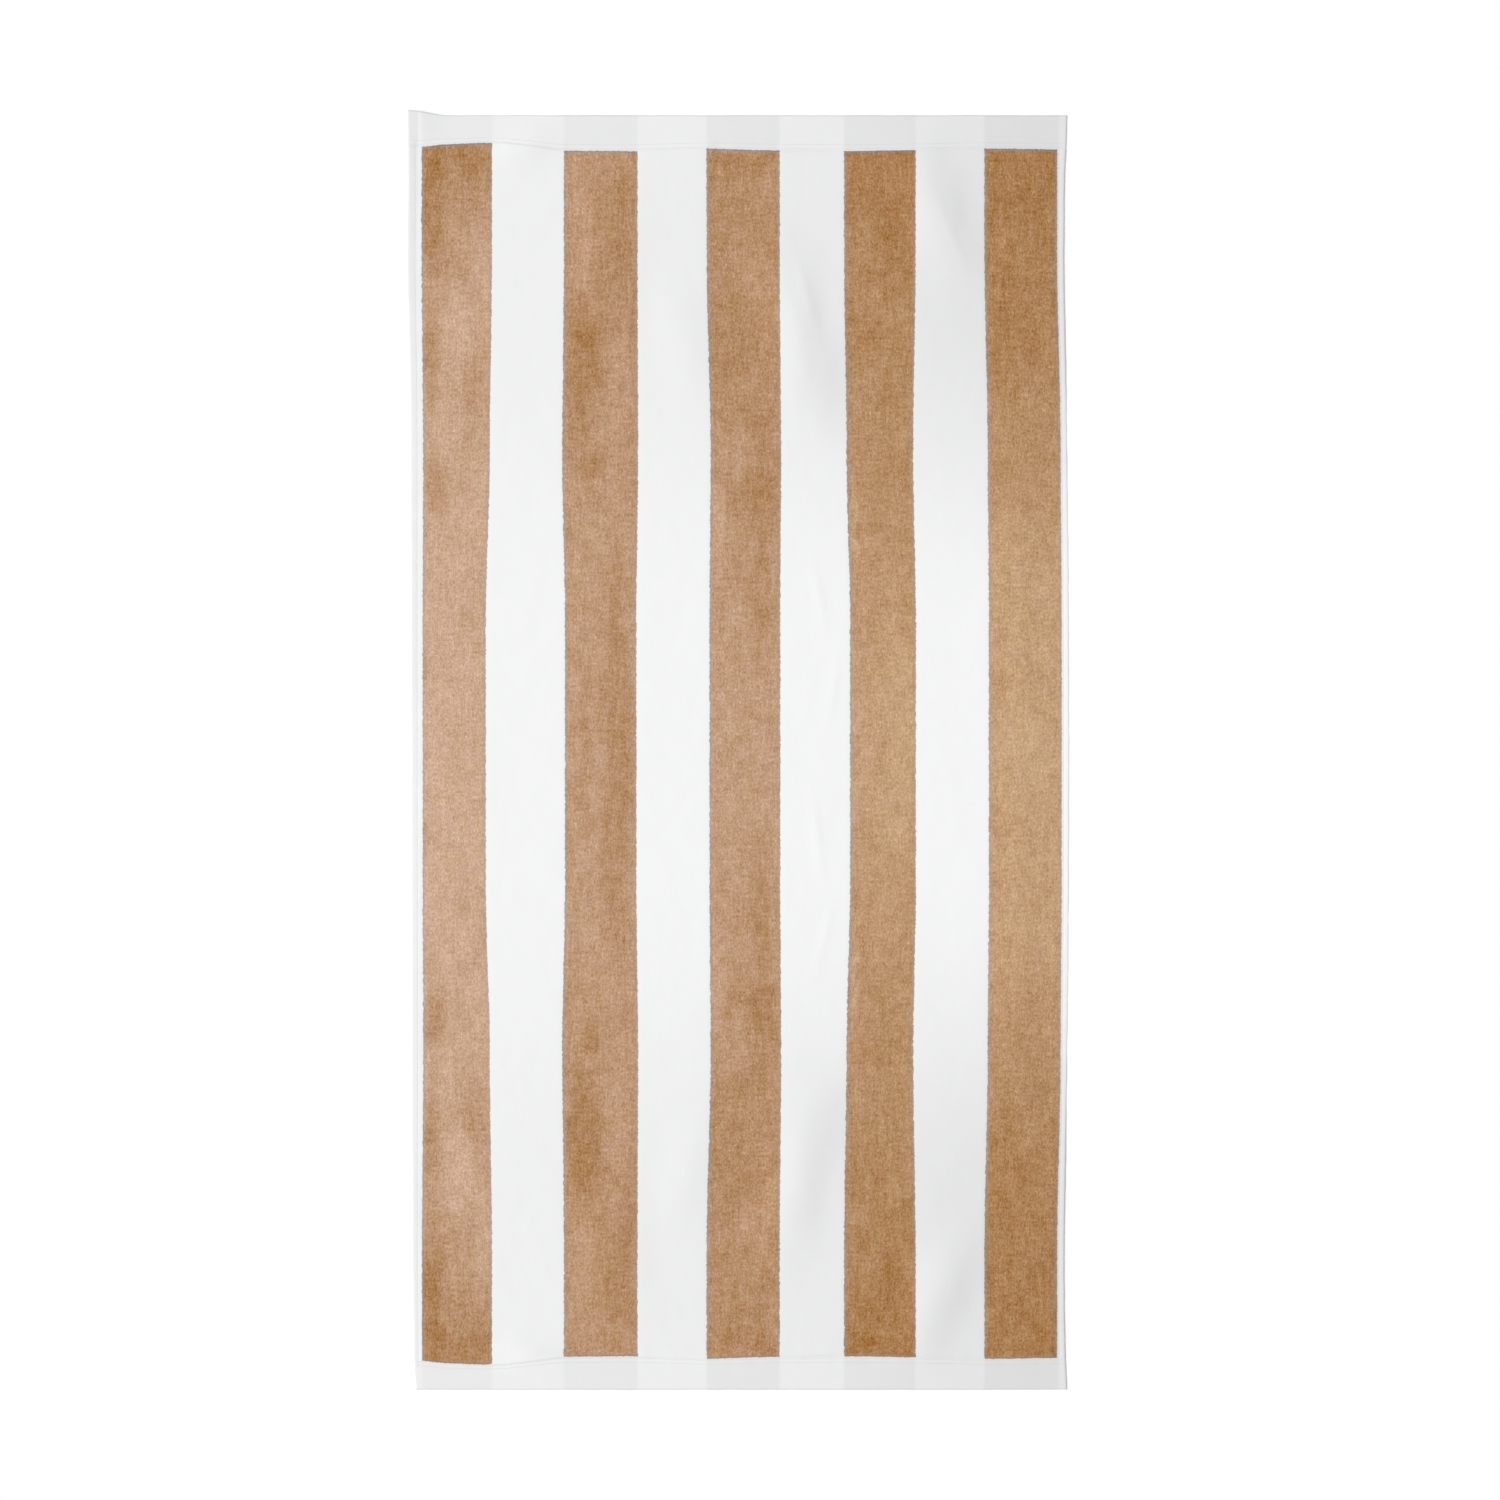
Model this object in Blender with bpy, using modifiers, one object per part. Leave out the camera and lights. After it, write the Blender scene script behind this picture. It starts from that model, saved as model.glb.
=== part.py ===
"""Striped beach towel: one length of velour terry cloth with flat-woven ends and turned side hems.

The towel lies spread out on a flat surface. X runs across it, Y along it and Z up. The origin is on
the underside, in the middle of the towel. All sizes are in metres.
"""

import math
from collections import namedtuple

import bmesh
import bpy
import numpy as np

WIDTH = 0.813
LENGTH = 1.575

PILE_THICKNESS = 0.0030  # velour pile with the loops of the back under it
BAND_THICKNESS = 0.0018  # the flat-woven end, turned once
HEM_THICKNESS = 0.0022  # the selvedge, turned twice
BAND_DEPTH = 0.042
HEM_DEPTH = 0.011
STEP = 0.002  # in which the pile rises from a hem or a band

LONGEST_COLUMN = 0.030
LONGEST_ROW = 0.029

WHITE_COTTON = (0.88, 0.88, 0.87, 1.0)
TAN_COTTON = (0.45, 0.26, 0.13, 1.0)

# The tan stripes of the warp: where each begins, and how wide it is
Stripe = namedtuple("Stripe", "left width")
STRIPES = (
    Stripe(left=-0.3886, width=0.0793),
    Stripe(left=-0.2138, width=0.0881),
    Stripe(left=-0.0342, width=0.0855),
    Stripe(left=0.1356, width=0.0819),
    Stripe(left=0.3091, width=0.0873),
)

# How far the two long edges lie outside (+) or inside (-) their straight lines, from end to end
Bow = namedtuple("Bow", "y left right")
BOWS = (
    Bow(y=-LENGTH / 2, left=-0.0085, right=0.0002),
    Bow(y=-0.765, left=-0.0066, right=-0.0010),
    Bow(y=-0.730, left=-0.0052, right=-0.0025),
    Bow(y=-0.630, left=-0.0038, right=-0.0036),
    Bow(y=-0.440, left=-0.0024, right=-0.0008),
    Bow(y=-0.240, left=-0.0022, right=0.0018),
    Bow(y=0.000, left=-0.0020, right=0.0027),
    Bow(y=0.240, left=-0.0014, right=0.0018),
    Bow(y=0.440, left=-0.0008, right=-0.0008),
    Bow(y=0.600, left=0.0025, right=-0.0036),
    Bow(y=0.700, left=0.0016, right=-0.0033),
    Bow(y=0.765, left=0.0014, right=-0.0004),
    Bow(y=LENGTH / 2, left=0.0016, right=0.0002),
)

# The low, soft ridges in which the cloth stands off the surface. turn is in degrees from the Y axis,
# clockwise seen from above, and west and east are how far a ridge reaches on its two sides.
Fold = namedtuple("Fold", "x y turn length west east height")
FOLDS = (
    Fold(x=0.080, y=0.520, turn=-14, length=0.42, west=0.058, east=0.042, height=0.0052),
    Fold(x=0.252, y=0.668, turn=-22, length=0.26, west=0.052, east=0.040, height=0.0056),
    Fold(x=0.080, y=-0.520, turn=14, length=0.40, west=0.058, east=0.042, height=0.0050),
    Fold(x=0.252, y=-0.670, turn=24, length=0.25, west=0.052, east=0.040, height=0.0054),
    Fold(x=-0.064, y=0.515, turn=-12, length=0.20, west=0.040, east=0.032, height=0.0022),
    Fold(x=-0.062, y=-0.520, turn=12, length=0.19, west=0.040, east=0.032, height=0.0020),
    Fold(x=-0.160, y=0.600, turn=14, length=0.30, west=0.060, east=0.050, height=0.0022),
    Fold(x=-0.150, y=-0.610, turn=-12, length=0.28, west=0.060, east=0.050, height=0.0020),
    Fold(x=-0.262, y=0.748, turn=72, length=0.11, west=0.030, east=0.022, height=0.0026),
    Fold(x=-0.262, y=-0.748, turn=-72, length=0.11, west=0.022, east=0.030, height=0.0026),
)

# The creases left by folding the towel in three for the shelf: soft ridges right across it
Crease = namedtuple("Crease", "y half_width height")
CREASES = (
    Crease(y=0.360, half_width=0.012, height=0.0014),
    Crease(y=-0.392, half_width=0.012, height=0.0014),
)

# The corner at -X, +Y is drawn out along the towel and stands up a little
CORNER_REACH = 0.045
CORNER_PULL = 0.0065
CORNER_LIFT = 0.0030


def clear_scene():
    for thing in list(bpy.data.objects):
        bpy.data.objects.remove(thing, do_unlink=True)


def cotton(name, colour):
    """Matt cotton in one colour."""
    material = bpy.data.materials.new(name)
    material.use_nodes = True
    shader = material.node_tree.nodes["Principled BSDF"]
    shader.inputs["Base Color"].default_value = colour
    shader.inputs["Roughness"].default_value = 0.95
    shader.inputs["Metallic"].default_value = 0.0
    return material


def lines_between(stops, longest):
    """The stops in order, with as many even lines between each two as keep the gaps under longest."""
    found = []
    for start, end in zip(stops, stops[1:]):
        count = math.ceil((end - start) / longest)
        found += [start + (end - start) * i / count for i in range(count)]
    return found + [stops[-1]]


def column_lines():
    half = WIDTH / 2
    stops = [-half, -half + HEM_DEPTH, -half + HEM_DEPTH + STEP]
    for stripe in STRIPES:
        stops += [stripe.left, stripe.left + stripe.width]
    stops += [half - HEM_DEPTH, half]
    return lines_between(sorted(stops), LONGEST_COLUMN)


def row_lines():
    half = LENGTH / 2
    stops = [-half, -half + BAND_DEPTH, -half + BAND_DEPTH + STEP]
    for crease in CREASES:
        stops += [crease.y - crease.half_width, crease.y, crease.y + crease.half_width]
    stops += [half - BAND_DEPTH - STEP, half - BAND_DEPTH, half]
    return lines_between(sorted(stops), LONGEST_ROW)


def bump(distance):
    """1 in the middle, falling softly to 0 at a distance of 1 and staying 0 past it."""
    return 0.5 + 0.5 * math.cos(math.pi * min(abs(distance), 1.0))


def fold_height(fold, x, y):
    turn = math.radians(fold.turn)
    across = (x - fold.x) * math.cos(turn) - (y - fold.y) * math.sin(turn)
    along = (x - fold.x) * math.sin(turn) + (y - fold.y) * math.cos(turn)
    reach = fold.west if across < 0 else fold.east
    return fold.height * bump(across / reach) * bump(2 * along / fold.length)


def from_corner(x, y):
    return bump(math.hypot(x + WIDTH / 2, y - LENGTH / 2) / CORNER_REACH)


def underside_height(x, y):
    """How far the underside stands off the surface at this place of the flat cloth."""
    height = sum(fold_height(fold, x, y) for fold in FOLDS)
    for crease in CREASES:
        height = max(height, crease.height * bump((y - crease.y) / crease.half_width))
    return height + CORNER_LIFT * from_corner(x, y)


def thickness(x, y):
    """Thin in the end bands, a little thicker in the side hems, and full in the pile."""
    if abs(y) > LENGTH / 2 - BAND_DEPTH - STEP / 2:
        return BAND_THICKNESS
    if abs(x) > WIDTH / 2 - HEM_DEPTH - STEP / 2:
        return HEM_THICKNESS
    return PILE_THICKNESS


def laid(x, y):
    """Where this place of the flat cloth lies, seen from above."""
    places = [bow.y for bow in BOWS]
    left = np.interp(y, places, [bow.left for bow in BOWS])
    right = np.interp(y, places, [bow.right for bow in BOWS])
    share = x / WIDTH + 0.5
    pull = CORNER_PULL * from_corner(x, y)
    return x - left * (1 - share) + right * share, y + pull


def in_stripe(x):
    return any(stripe.left < x < stripe.left + stripe.width for stripe in STRIPES)


def towel_mesh():
    """The underside of the towel as a sheet, with the thickness of the cloth as a vertex weight."""
    columns = column_lines()
    rows = row_lines()
    sheet = bmesh.new()
    bmesh.ops.create_grid(
        sheet, x_segments=len(columns) - 1, y_segments=len(rows) - 1, size=0.5
    )
    weights = sheet.verts.layers.deform.verify()
    for vertex in sheet.verts:
        x = columns[round((vertex.co.x + 0.5) * (len(columns) - 1))]
        y = rows[round((vertex.co.y + 0.5) * (len(rows) - 1))]
        vertex[weights][0] = thickness(x, y) / PILE_THICKNESS
        vertex.co = (*laid(x, y), underside_height(x, y))
    for face in sheet.faces:
        middle = face.calc_center_median()
        in_pile = abs(middle.y) < LENGTH / 2 - BAND_DEPTH - STEP
        face.material_index = int(in_pile and in_stripe(middle.x))
        face.smooth = True
    low = np.min([vertex.co for vertex in sheet.verts], axis=0)
    high = np.max([vertex.co for vertex in sheet.verts], axis=0)
    for vertex in sheet.verts:
        vertex.co.x -= (low[0] + high[0]) / 2
        vertex.co.y -= (low[1] + high[1]) / 2
    mesh = bpy.data.meshes.new("towel")
    sheet.to_mesh(mesh)
    sheet.free()
    return mesh


def make_towel(collection):
    towel = bpy.data.objects.new("towel", towel_mesh())
    collection.objects.link(towel)
    towel.data.materials.append(cotton("white_cotton", WHITE_COTTON))
    towel.data.materials.append(cotton("tan_cotton", TAN_COTTON))
    towel.vertex_groups.new(name="thickness")
    cloth = towel.modifiers.new("cloth", "SOLIDIFY")
    cloth.thickness = PILE_THICKNESS
    cloth.offset = 1.0
    cloth.vertex_group = "thickness"


clear_scene()
beach_towel = bpy.data.collections.new("beach_towel")
bpy.context.scene.collection.children.link(beach_towel)
make_towel(beach_towel)
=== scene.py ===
import math
from collections import namedtuple

import bmesh
import bpy
import numpy as np
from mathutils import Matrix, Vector, noise
from mathutils.bvhtree import BVHTree


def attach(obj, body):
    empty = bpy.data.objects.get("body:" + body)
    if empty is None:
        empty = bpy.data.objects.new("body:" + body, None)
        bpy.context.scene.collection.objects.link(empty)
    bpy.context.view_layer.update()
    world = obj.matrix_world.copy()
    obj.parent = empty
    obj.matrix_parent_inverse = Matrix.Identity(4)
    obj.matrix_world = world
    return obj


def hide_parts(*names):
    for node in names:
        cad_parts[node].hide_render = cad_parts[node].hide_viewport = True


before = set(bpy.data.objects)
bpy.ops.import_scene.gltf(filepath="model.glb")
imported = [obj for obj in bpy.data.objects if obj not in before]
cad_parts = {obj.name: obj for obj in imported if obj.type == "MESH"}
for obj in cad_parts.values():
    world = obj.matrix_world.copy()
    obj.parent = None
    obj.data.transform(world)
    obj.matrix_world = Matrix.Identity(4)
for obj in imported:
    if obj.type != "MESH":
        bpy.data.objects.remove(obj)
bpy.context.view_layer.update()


# ---------------------------------------------------------------------------------------------
# The cloth: one length of cotton, woven with a warp of five tan stripes on white and cut to 32 by
# 62 inches. Its face is sheared to a velour, its back keeps the terry loops, and each end is a flat
# woven band. The sides and ends are turned under and sewn, so the hems are part of the cloth.

CLOTH_WIDTH = 0.813
CLOTH_LENGTH = 1.575
HALF_WIDTH = CLOTH_WIDTH / 2
HALF_LENGTH = CLOTH_LENGTH / 2
PILE_THICKNESS = 0.0030
BAND_THICKNESS = 0.0018
WEST_HEM_THICKNESS = 0.0030
EAST_HEM_THICKNESS = 0.0022
BAND_DEPTH = 0.040
HEM_DEPTH = 0.011
PILE_RISE = 0.0016  # in which the pile rises beside a band
SIDE_RISE = 2.2  # times that, beside a side hem
PILE_SHIFT = -0.0015  # the pile lies this much nearer the foot than the cloth's middle
STRIPE_SPREAD = 0.0012  # how far the tan pile leans over the white beside it
SIDE_SEAM = 0.0090  # how far in from the side edge the hem is sewn
END_SEAMS = (0.0330, 0.0378)  # how far in from each end its hem is sewn, in two rows
END_FOLD = 0.0011  # how wide the turned edge curves over, at the ends and at each side
WEST_FOLD = 0.0016
EAST_FOLD = 0.0030

# The share of its thickness that the east side has lost to the iron, how far east of the middle the
# ironing starts, and over what width it comes to its full share
IRONED_AT_ENDS = 0.38
IRONED_MORE_IN_MIDDLE = 0.46
IRONED_FROM = 0.340
IRONED_OVER = 0.056

# How high the face's small waves, lumps and puckers stand, how deep the groove beside a stripe and
# the dip along a seam are, and how far the cloth's edge strays in and out
PILE_WAVES = 0.00022
PILE_LUMPS = 0.00013
SIDE_PUCKERS = 0.00035
END_PUCKERS = 0.00028
STRIPE_GROOVE = 0.00014
SIDE_DIP = 0.00016
END_DIP = 0.00022
BACK_DIP = 1.4  # times as deep on the back
EDGE_WANDER = 0.00035

# The widest column and row in the grid of the face, and in that of the back
FACE_COLUMN = 0.0048
FACE_ROW = 0.0052
BACK_COLUMN = 0.0095
BACK_ROW = 0.0105

# The edges of the stripes in the warp, and how far the laid cloth has pulled them sideways: near its
# ends, a quarter of the way in, and in the middle
Selvedge = namedtuple("Selvedge", "place end quarter middle")
STRIPE_EDGES = (
    Selvedge(place=-0.3886, end=-0.0011, quarter=0.0007, middle=0.0000),
    Selvedge(place=-0.3093, end=0.0042, quarter=0.0014, middle=-0.0036),
    Selvedge(place=-0.2138, end=-0.0002, quarter=-0.0022, middle=0.0012),
    Selvedge(place=-0.1257, end=0.0004, quarter=0.0010, middle=-0.0011),
    Selvedge(place=-0.0342, end=-0.0036, quarter=0.0014, middle=0.0002),
    Selvedge(place=0.0513, end=-0.0010, quarter=0.0008, middle=-0.0004),
    Selvedge(place=0.1356, end=-0.0034, quarter=-0.0004, middle=0.0041),
    Selvedge(place=0.2175, end=0.0008, quarter=-0.0023, middle=0.0010),
    Selvedge(place=0.3091, end=-0.0036, quarter=0.0006, middle=0.0020),
    Selvedge(place=0.3964, end=-0.0008, quarter=0.0036, middle=0.0049),
)
SWAY_PLACES = (0.0, 0.16, 0.37, 0.62)  # from the middle: two for the middle, then quarter and end

# How far the weaver's line between band and pile wanders from straight, across the towel
Wander = namedtuple("Wander", "place outward")
BAND_LINE = (
    Wander(place=-HALF_WIDTH, outward=0.0024),
    Wander(place=-0.386, outward=0.0030),
    Wander(place=-0.366, outward=0.0056),
    Wander(place=-0.320, outward=0.0076),
    Wander(place=-0.290, outward=0.0066),
    Wander(place=-0.245, outward=0.0010),
    Wander(place=-0.220, outward=-0.0022),
    Wander(place=-0.130, outward=-0.0028),
    Wander(place=-0.034, outward=0.0004),
    Wander(place=0.040, outward=-0.0018),
    Wander(place=0.135, outward=-0.0026),
    Wander(place=0.218, outward=-0.0016),
    Wander(place=0.309, outward=0.0006),
    Wander(place=HALF_WIDTH, outward=-0.0006),
)
WANDER_FADE = 0.075  # in which the rows behind the line straighten out again

# Creases too fine for the solid: where each lies, how far it turns from the length of the towel,
# how long and how wide it is, and how high it stands
Crease = namedtuple("Crease", "x y turn length width height")
CREASES = (
    Crease(x=-0.240, y=0.354, turn=88, length=0.20, width=0.0040, height=0.0005),
    Crease(x=-0.060, y=0.357, turn=91, length=0.22, width=0.0040, height=0.0006),
    Crease(x=0.160, y=0.365, turn=93, length=0.28, width=0.0040, height=0.0005),
    Crease(x=0.340, y=0.369, turn=90, length=0.16, width=0.0040, height=0.0005),
    Crease(x=-0.220, y=-0.390, turn=91, length=0.26, width=0.0040, height=0.0005),
    Crease(x=0.020, y=-0.393, turn=89, length=0.26, width=0.0040, height=0.0006),
    Crease(x=0.280, y=-0.394, turn=90, length=0.28, width=0.0040, height=0.0005),
    Crease(x=0.100, y=0.190, turn=-12, length=0.14, width=0.0045, height=0.0006),
    Crease(x=0.118, y=0.075, turn=9, length=0.12, width=0.0040, height=0.0005),
    Crease(x=0.098, y=-0.110, turn=-6, length=0.15, width=0.0045, height=0.0006),
    Crease(x=0.108, y=-0.225, turn=14, length=0.13, width=0.0040, height=0.0005),
    Crease(x=-0.262, y=0.741, turn=80, length=0.11, width=0.0050, height=0.0009),
    Crease(x=-0.262, y=-0.741, turn=-80, length=0.11, width=0.0050, height=0.0009),
    Crease(x=0.086, y=0.560, turn=-15, length=0.18, width=0.0050, height=0.0005),
    Crease(x=0.262, y=0.640, turn=-24, length=0.13, width=0.0050, height=0.0005),
)

# How much painted sheen the nap of each tan stripe has, from 0, none, to 1, full: near the band, then a
# fifth, a half and three quarters of the way in, and in the middle
SheenProfile = namedtuple("SheenProfile", "band fifth half three_quarters middle")
STRIPE_SHEENS = (
    SheenProfile(band=0.28, fifth=0.68, half=0.88, three_quarters=1.00, middle=1.00),
    SheenProfile(band=0.40, fifth=0.38, half=0.50, three_quarters=0.62, middle=0.58),
    SheenProfile(band=0.33, fifth=0.34, half=0.42, three_quarters=0.54, middle=0.67),
    SheenProfile(band=0.05, fifth=0.18, half=0.36, three_quarters=0.50, middle=0.70),
    SheenProfile(band=0.01, fifth=0.10, half=0.42, three_quarters=0.77, middle=0.79),
)
SHEEN_PLACES = (0.73, 0.58, 0.36, 0.22, 0.06)

# Patches of painted sheen, paler, and of painted shade, darker, where the nap lies stroked, in both halves
# of the towel
SheenPatch = namedtuple("SheenPatch", "across along width length paler")
SHEEN_PATCHES = (
    SheenPatch(across=-0.377, along=0.660, width=0.030, length=0.170, paler=-0.30),
    SheenPatch(across=-0.345, along=0.735, width=0.075, length=0.045, paler=-0.16),
    SheenPatch(across=-0.346, along=0.512, width=0.042, length=0.120, paler=0.22),
    SheenPatch(across=-0.318, along=0.610, width=0.022, length=0.160, paler=0.20),
    SheenPatch(across=-0.380, along=0.478, width=0.018, length=0.130, paler=-0.30),
    SheenPatch(across=-0.328, along=0.455, width=0.028, length=0.110, paler=-0.30),
    SheenPatch(across=-0.376, along=0.328, width=0.028, length=0.075, paler=-0.42),
    SheenPatch(across=-0.386, along=0.116, width=0.010, length=0.050, paler=-0.30),
    SheenPatch(across=-0.325, along=0.190, width=0.040, length=0.110, paler=-0.12),
    SheenPatch(across=-0.196, along=0.660, width=0.030, length=0.150, paler=0.22),
    SheenPatch(across=-0.147, along=0.650, width=0.030, length=0.150, paler=-0.14),
    SheenPatch(across=-0.190, along=0.475, width=0.042, length=0.160, paler=-0.30),
    SheenPatch(across=-0.182, along=0.358, width=0.026, length=0.045, paler=-0.34),
    SheenPatch(across=-0.145, along=0.445, width=0.026, length=0.140, paler=0.16),
    SheenPatch(across=-0.148, along=0.080, width=0.036, length=0.360, paler=-0.26),
    SheenPatch(across=-0.190, along=0.040, width=0.014, length=0.160, paler=-0.14),
    SheenPatch(across=-0.020, along=0.725, width=0.060, length=0.030, paler=-0.12),
    SheenPatch(across=0.032, along=0.728, width=0.030, length=0.030, paler=-0.20),
    SheenPatch(across=0.020, along=0.620, width=0.050, length=0.120, paler=0.04),
    SheenPatch(across=0.006, along=0.470, width=0.080, length=0.150, paler=-0.10),
    SheenPatch(across=0.004, along=0.368, width=0.070, length=0.050, paler=0.08),
    SheenPatch(across=0.030, along=0.330, width=0.034, length=0.150, paler=-0.20),
    SheenPatch(across=0.012, along=0.312, width=0.030, length=0.050, paler=-0.14),
    SheenPatch(across=-0.024, along=0.276, width=0.018, length=0.150, paler=0.22),
    SheenPatch(across=0.028, along=0.185, width=0.024, length=0.160, paler=-0.20),
    SheenPatch(across=0.176, along=0.735, width=0.080, length=0.030, paler=-0.10),
    SheenPatch(across=0.160, along=0.600, width=0.036, length=0.160, paler=0.08),
    SheenPatch(across=0.192, along=0.630, width=0.024, length=0.110, paler=-0.10),
    SheenPatch(across=0.196, along=0.554, width=0.024, length=0.034, paler=0.16),
    SheenPatch(across=0.150, along=0.428, width=0.014, length=0.040, paler=0.16),
    SheenPatch(across=0.142, along=0.303, width=0.009, length=0.105, paler=0.40),
    SheenPatch(across=0.196, along=0.060, width=0.040, length=0.260, paler=0.08),
    SheenPatch(across=0.336, along=0.480, width=0.060, length=0.130, paler=-0.10),
    SheenPatch(across=0.320, along=0.095, width=0.034, length=0.036, paler=-0.22),
    SheenPatch(across=0.352, along=0.014, width=0.070, length=0.080, paler=0.12),
)


def smooth(value):
    """From 0 to 1 as value does, easing in and out."""
    value = np.clip(value, 0.0, 1.0)
    return value * value * (3 - 2 * value)


def close_to(gap, width):
    """1 where the gap is nothing, fading away over about the width on either side."""
    return np.exp(-((gap / width) ** 2))


def eased(places, values, at):
    """The values at their places, joined by eased steps."""
    at = np.clip(at, places[0], places[-1])
    part = np.clip(np.searchsorted(places, at, side="right") - 1, 0, len(places) - 2)
    places, values = np.asarray(places), np.asarray(values)
    share = (at - places[part]) / (places[part + 1] - places[part])
    return values[part] + (values[part + 1] - values[part]) * smooth(share)


def lines_between(stops, longest):
    """The stops in order, with even lines between them that are no further apart than longest."""
    stops = sorted(stops)
    found = [stops[0]]
    for start, end in zip(stops, stops[1:]):
        count = math.ceil((end - start) / longest)
        found += [start + (end - start) * (i + 1) / count for i in range(count)]
    return np.array(found)


def rough(across, along, size, seed):
    """Soft noise from -1 to 1 at each place, with features of about the size, for each seed its own."""
    shift = Vector((13.7 * seed, 7.1 * seed, 3.3 * seed))
    return np.array([noise.noise(Vector((x, y, 0)) / size + shift) for x, y in zip(across, along)])


class Solid:
    """The towel's solid in the frame, read for where its cloth lies."""

    GRID = 0.006
    SMOOTHINGS = 5
    CUTS = 240
    HAIR = 1e-5

    def __init__(self, node):
        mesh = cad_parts[node].data
        self.points = np.array([vertex.co for vertex in mesh.vertices])
        self.edges = np.array([edge.vertices[:] for edge in mesh.edges])
        self.low, self.high = self.points.min(axis=0), self.points.max(axis=0)
        self.tree = BVHTree.FromPolygons(
            [vertex.co for vertex in mesh.vertices],
            [face.vertices[:] for face in mesh.polygons],
        )
        self.height = self.underside()

    def corner(self, east, north):
        """The outermost point of the outline at one corner."""
        return self.points[np.argmax(east * self.points[:, 0] + north * self.points[:, 1])]

    def outline(self, axis, start, end, outward):
        """The outline from one corner to another: places along the axis, and how far out it reaches."""
        a, b = self.points[self.edges[:, 0]], self.points[self.edges[:, 1]]
        crossing = np.abs(b[:, axis] - a[:, axis]) > self.HAIR / 100
        a, b = a[crossing], b[crossing]
        places = np.linspace(start[axis] + self.HAIR, end[axis] - self.HAIR, self.CUTS)
        reach = []
        for place in places:
            share = (place - a[:, axis]) / (b[:, axis] - a[:, axis])
            cut = (share >= 0) & (share <= 1)
            across = a[cut, 1 - axis] + share[cut] * (b[cut, 1 - axis] - a[cut, 1 - axis])
            reach.append(outward * (outward * across).max())
        return places, np.array(reach)

    def underside(self):
        """How far the underside stands off the ground over an even grid, its facets smoothed away."""
        self.grid_x = np.arange(self.low[0], self.high[0] + self.GRID, self.GRID)
        self.grid_y = np.arange(self.low[1], self.high[1] + self.GRID, self.GRID)
        height = np.zeros((len(self.grid_y), len(self.grid_x)))
        for row, y in enumerate(self.grid_y):
            for column, x in enumerate(self.grid_x):
                hit = self.tree.ray_cast(Vector((x, y, -1.0)), Vector((0, 0, 1)))[0]
                height[row, column] = hit.z if hit else 0.0
        for _ in range(self.SMOOTHINGS):
            padded = np.pad(height, 1, mode="edge")
            height = (padded[:-2, 1:-1] + padded[2:, 1:-1] + 2 * padded[1:-1, 1:-1]) / 4
            padded = np.pad(height, 1, mode="edge")
            height = (padded[1:-1, :-2] + padded[1:-1, 2:] + 2 * padded[1:-1, 1:-1]) / 4
        return height

    def height_at(self, x, y):
        column = np.clip((x - self.grid_x[0]) / self.GRID, 0, len(self.grid_x) - 1.001)
        row = np.clip((y - self.grid_y[0]) / self.GRID, 0, len(self.grid_y) - 1.001)
        i, j = column.astype(int), row.astype(int)
        u, v = column - i, row - j
        near = self.height[j, i] * (1 - u) + self.height[j, i + 1] * u
        far = self.height[j + 1, i] * (1 - u) + self.height[j + 1, i + 1] * u
        return near * (1 - v) + far * v


solid = Solid("towel")
south_west, south_east = solid.corner(-1, -1), solid.corner(1, -1)
north_west, north_east = solid.corner(-1, 1), solid.corner(1, 1)
WEST_SIDE = solid.outline(1, south_west, north_west, outward=-1)
EAST_SIDE = solid.outline(1, south_east, north_east, outward=1)
FOOT = solid.outline(0, south_west, south_east, outward=-1)
HEAD = solid.outline(0, north_west, north_east, outward=1)
# Where the middle of the cloth's length lies, its drawn-out corner left out
MIDDLE = (np.median(HEAD[1]) + np.median(FOOT[1])) / 2


def side_at(along, side):
    """Where a side of the towel lies, at places from one end of the cloth to the other."""
    places, reach = side
    share = (along + HALF_LENGTH) / CLOTH_LENGTH
    return np.interp(places[0] + (places[-1] - places[0]) * share, places, reach)


def laid(across, along):
    """Where places in the cloth lie, seen from above: across and along are arrays of one length."""
    anchors = [side_at(along, WEST_SIDE)]
    for edge in STRIPE_EDGES:
        pull = eased(SWAY_PLACES, (edge.middle, edge.middle, edge.quarter, edge.end), abs(along))
        anchors.append(edge.place + pull)
    anchors.append(side_at(along, EAST_SIDE))
    places = [-HALF_WIDTH, *[edge.place for edge in STRIPE_EDGES], HALF_WIDTH]
    x = np.zeros_like(across)
    for start, end, west, east in zip(places, places[1:], anchors, anchors[1:]):
        share = (across - start) / (end - start)
        inside = (share >= 0) & (share <= 1)
        x[inside] = (west + (east - west) * share)[inside]
    ahead = np.sign(along)
    outermost = np.where(along > 0, np.interp(x, *HEAD), -np.interp(x, *FOOT)) - ahead * MIDDLE
    out = np.abs(along)
    line = HALF_LENGTH - BAND_DEPTH
    drift = np.interp(across, [point.place for point in BAND_LINE], [point.outward for point in BAND_LINE])
    drift = drift + ahead * PILE_SHIFT
    behind = drift * smooth((out - line + WANDER_FADE) / WANDER_FADE)
    stretch = (outermost - line - drift) / BAND_DEPTH
    y = np.where(out < line, out + behind, line + drift + (out - line) * stretch)
    return x, MIDDLE + y * ahead


def pile_share(across, along):
    """0 in the hems and bands, 1 in the pile."""
    from_band = HALF_LENGTH - BAND_DEPTH - np.abs(along)
    from_hem = (HALF_WIDTH - HEM_DEPTH - np.abs(across)) / SIDE_RISE
    return smooth(np.minimum(from_band, from_hem) / PILE_RISE)


def ironed(across, along):
    """The share of its thickness that the cloth has lost to the iron, most in the middle of its length."""
    most = IRONED_AT_ENDS + IRONED_MORE_IN_MIDDLE * smooth((0.50 - np.abs(along)) / 0.12)
    return most * smooth((across - IRONED_FROM) / IRONED_OVER)


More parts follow.
